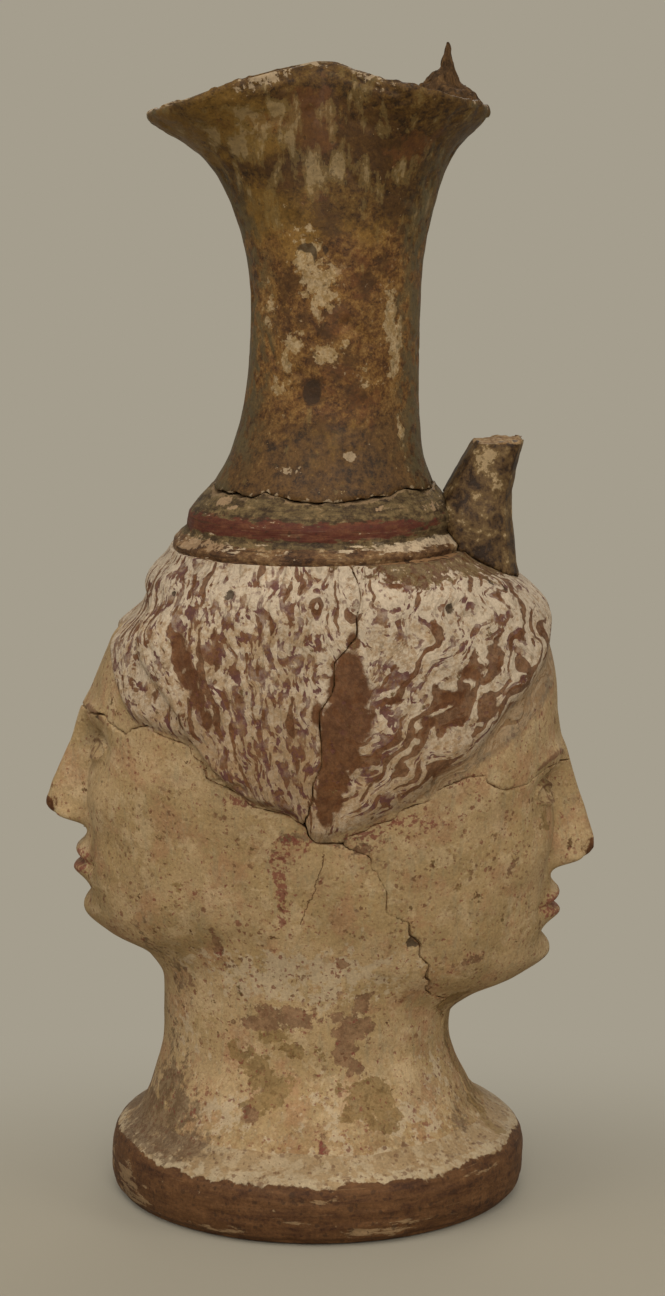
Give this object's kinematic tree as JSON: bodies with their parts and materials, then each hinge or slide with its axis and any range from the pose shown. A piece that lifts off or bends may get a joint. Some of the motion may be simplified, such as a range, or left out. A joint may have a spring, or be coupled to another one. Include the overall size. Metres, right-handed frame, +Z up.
{
  "type": "double-head oinochoe",
  "caption": "Ancient pouring jug of fired clay: two heads back to back under a tall neck with a trefoil mouth, on a ring foot, with the stumps of a lost handle.",
  "frame": {"origin": "under the middle of the body, on the surface that the ring foot stands on", "axes": "+Z up; -X is the side the spout points to and +X the side the lost handle stood on; the mould seams lie at -Y and +Y"},
  "size_m": [0.0977, 0.075, 0.2034],
  "materials": {
    "dark_glaze": "worn olive-brown glaze, satin",
    "painted_collar": "painted clay, matt",
    "hair_slip": "white slip over brown grooves, matt",
    "cream_slip": "cream slip, matt",
    "bare_clay": "bare fired clay, matt",
    "broken_clay": "rough broken clay"
  },
  "bodies": {
    "root": {"neck_and_mouth": "dark_glaze", "shoulder_collar": "painted_collar", "left_crown": "hair_slip", "right_crown": "hair_slip", "left_face": "cream_slip", "right_face": "cream_slip", "foot_ring": "bare_clay", "floor_disc": "bare_clay", "handle_root": "dark_glaze", "handle_spur": "broken_clay", "near_seam_roll_upper": "bare_clay", "near_seam_roll_lower": "bare_clay", "far_seam_roll_upper": "bare_clay", "far_seam_roll_lower": "bare_clay", "neck_joint_roll": "bare_clay", "foot_joint_roll": "bare_clay"}
  },
  "joints": []
}
